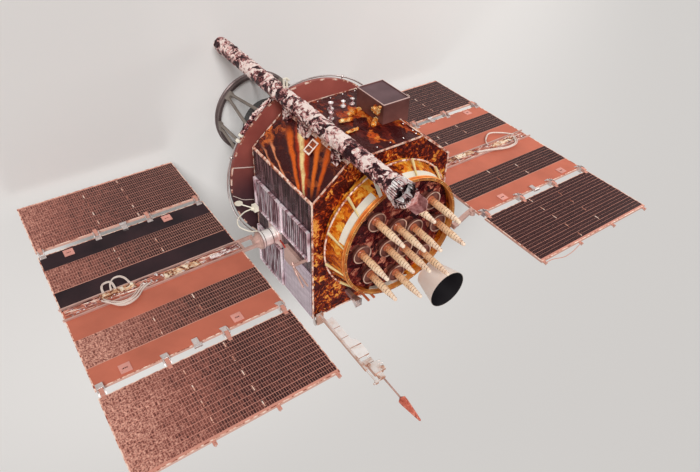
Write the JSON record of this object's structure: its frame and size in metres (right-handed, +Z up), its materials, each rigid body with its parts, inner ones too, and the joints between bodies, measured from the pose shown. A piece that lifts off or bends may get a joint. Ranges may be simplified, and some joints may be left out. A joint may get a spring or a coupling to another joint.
{
  "type": "navigation satellite",
  "caption": "Box-bodied navigation satellite with folding sun-tracking wings, a ring of helix antennas, louvred sides, foil covers, a folding mast and a separation ring.",
  "frame": {"origin": "centre of the separation ring's underside, on the floor", "axes": "+Z up the main axis towards the antennas, Y along the wings, +X towards the side of the body where the cells face"},
  "size_m": [2.0628, 5.324, 3.835],
  "materials": {
    "adapter_metal": "primer",
    "amber_foil": "crinkled glossy foil",
    "black_paint": "matt black",
    "bright_metal": "machined",
    "brown_plate": "matt film",
    "carbon": "matt carbon",
    "copper_cone": "copper film",
    "dark_foil": "crinkled glossy foil",
    "drive_metal": "satin",
    "gold_box": "gold film",
    "gold_rim": "satin gold",
    "gold_strut": "satin gold",
    "grey_box": "matt paint",
    "helix_cup": "satin paint",
    "helix_rod": "woven glass with a wound wire",
    "louvre_blade": "polished blades",
    "motor_case": "satin metal",
    "orange_foil": "crinkled glossy foil",
    "pale_tape": "satin tape",
    "panel_cells": "cell blanket",
    "panel_centre": "film with two strips of cells",
    "radiator_white": "white quartz film",
    "salmon_cover": "matt film",
    "shade_white": "white paint outside, black inside",
    "silver_foil": "crumpled foil",
    "white_cable": "sleeved wire",
    "white_sheet": "white film",
    "wing_metal": "satin"
  },
  "bodies": {
    "root": {"adapter_struts": "adapter_metal", "aft_disc": "brown_plate", "aft_drum": "dark_foil", "array_deck": "dark_foil", "array_skirt": "orange_foil", "base_hoop": "pale_tape", "bevel_port": "white_sheet", "bus_body": "amber_foil", "cover_bands": "white_sheet", "drive_unit_left": "drive_metal", "drive_unit_right": "drive_metal", "edge_tapes": "pale_tape", "foil_tube": "silver_foil", "front_hoop": "gold_rim", "helix_cups": "helix_cup", "helix_rods": "helix_rod", "hoop_struts": "gold_strut", "louvres_left": "louvre_blade", "louvres_right": "louvre_blade", "mast_root": "bright_metal", "motor_case": "motor_case", "motor_nozzle": "carbon", "mouth_tray": "salmon_cover", "optical_barrel": "black_paint", "optical_shade": "shade_white", "radiator_left": "radiator_white", "radiator_right": "radiator_white", "rim_rail": "bright_metal", "separation_ring": "bright_metal", "short_posts": "helix_rod", "side_fittings": "gold_box", "side_latch_left": "bright_metal", "side_latch_right": "bright_metal", "sun_horn": "bright_metal", "thrusters": "bright_metal", "top_fittings": "gold_rim", "tube_saddles": "silver_foil", "tube_strut": "white_sheet", "upper_box": "grey_box"},
    "aft_left": {"aft_panel_left": "panel_cells"},
    "aft_right": {"aft_panel_right": "panel_cells"},
    "wing_left": {"centre_panel_left": "panel_centre", "harness_boxes_left": "gold_box", "hinge_forks_left": "bright_metal", "tie_plates_left": "salmon_cover", "wing_cables_left": "white_cable", "wing_yoke_left": "wing_metal"},
    "wing_right": {"centre_panel_right": "panel_centre", "harness_boxes_right": "gold_box", "hinge_forks_right": "bright_metal", "tie_plates_right": "salmon_cover", "wing_cables_right": "white_cable", "wing_yoke_right": "wing_metal"},
    "fore_left": {"fore_panel_left": "panel_cells"},
    "fore_right": {"fore_panel_right": "panel_cells"},
    "mast": {"mast_cone": "copper_cone", "mast_head": "bright_metal", "mast_plates": "white_sheet", "mast_rail": "bright_metal", "mast_rod": "black_paint"}
  },
  "joints": [
    {"name": "wing_left_turn", "type": "hinge", "parent": "root", "child": "wing_left", "pos_m": [-0.23, 1, 1.78], "axis": [0, 1, 0], "continuous": true},
    {"name": "aft_left_fold", "type": "hinge", "parent": "wing_left", "child": "aft_left", "pos_m": [-0.198, 1.876, 0.9215], "axis": [0, -1, 0], "range_deg": [0, 180]},
    {"name": "fore_left_fold", "type": "hinge", "parent": "wing_left", "child": "fore_left", "pos_m": [-0.198, 1.876, 2.6385], "axis": [0, 1, 0], "range_deg": [0, 180]},
    {"name": "wing_right_turn", "type": "hinge", "parent": "root", "child": "wing_right", "pos_m": [-0.23, -1, 1.78], "axis": [0, 1, 0], "continuous": true},
    {"name": "aft_right_fold", "type": "hinge", "parent": "wing_right", "child": "aft_right", "pos_m": [-0.198, -1.876, 0.9215], "axis": [0, -1, 0], "range_deg": [0, 180]},
    {"name": "fore_right_fold", "type": "hinge", "parent": "wing_right", "child": "fore_right", "pos_m": [-0.198, -1.876, 2.6385], "axis": [0, 1, 0], "range_deg": [0, 180]},
    {"name": "mast_fold", "type": "hinge", "parent": "root", "child": "mast", "pos_m": [-0.86, 0.68, 2.44], "axis": [0, -1, 0], "range_deg": [0, 180]}
  ]
}
